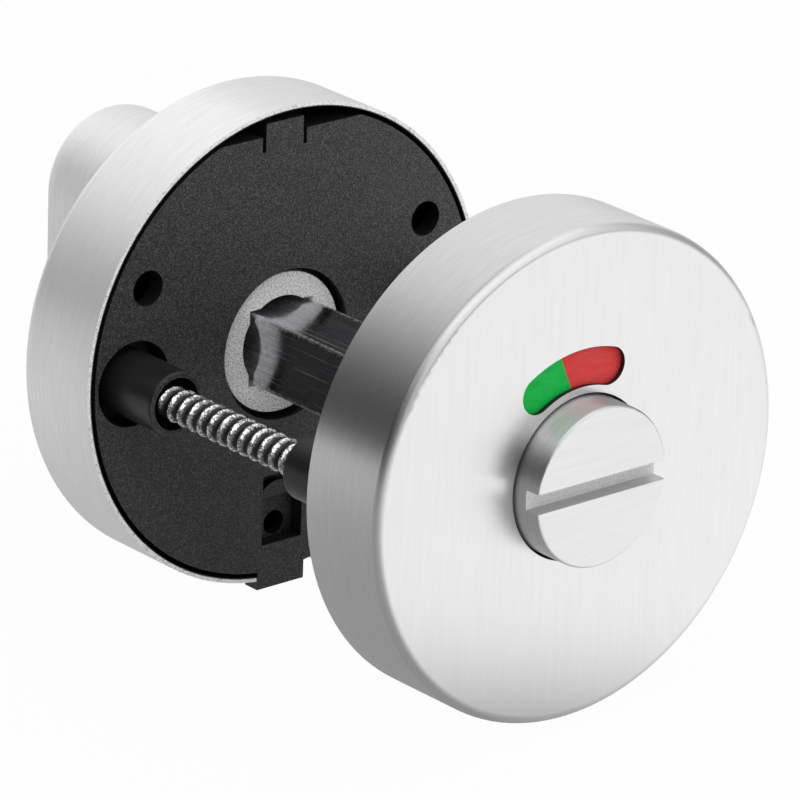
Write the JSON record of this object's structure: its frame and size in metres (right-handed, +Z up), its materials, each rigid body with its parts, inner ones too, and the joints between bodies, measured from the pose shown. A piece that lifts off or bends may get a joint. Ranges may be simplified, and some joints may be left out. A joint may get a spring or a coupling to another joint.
{
  "type": "bathroom thumb turn lock",
  "caption": "Round bathroom turn and release set: an oval thumb turn inside, and a coin slot with a green and red indicator outside, joined by a square spindle through the door.",
  "frame": {"origin": "on the spindle's axis, half way between the two roses' door faces", "axes": "+Z up, Y along the spindle with the inside towards +Y and the outside towards -Y, X across"},
  "size_m": [0.052, 0.0805, 0.0528],
  "materials": {
    "satin_steel": "satin brushed",
    "black_plastic": "fine textured",
    "bright_steel": "bright plated",
    "zinc_casting": "as cast",
    "spring_steel": "plain",
    "disc_plastic": "matte",
    "green_plastic": "matte",
    "red_plastic": "matte"
  },
  "bodies": {
    "roses": {"outside_cover": "satin_steel", "outside_backplate": "black_plastic", "inside_cover": "satin_steel", "inside_backplate": "black_plastic", "fixing_screw_left": "bright_steel", "fixing_screw_right": "bright_steel"},
    "turning_train": {"thumb_turn": "satin_steel", "turn_socket": "zinc_casting", "turn_washer": "spring_steel", "turn_circlip": "spring_steel", "spindle": "bright_steel", "release_socket": "zinc_casting", "release_washer": "spring_steel", "release_circlip": "spring_steel", "coin_release": "satin_steel", "indicator_disc": "disc_plastic", "indicator_green": "green_plastic", "indicator_red": "red_plastic"}
  },
  "joints": [
    {"name": "turn", "type": "hinge", "parent": "roses", "child": "turning_train", "pos_m": [0, 0, 0], "axis": [0, 1, 0], "range_deg": [-45, 45]}
  ]
}
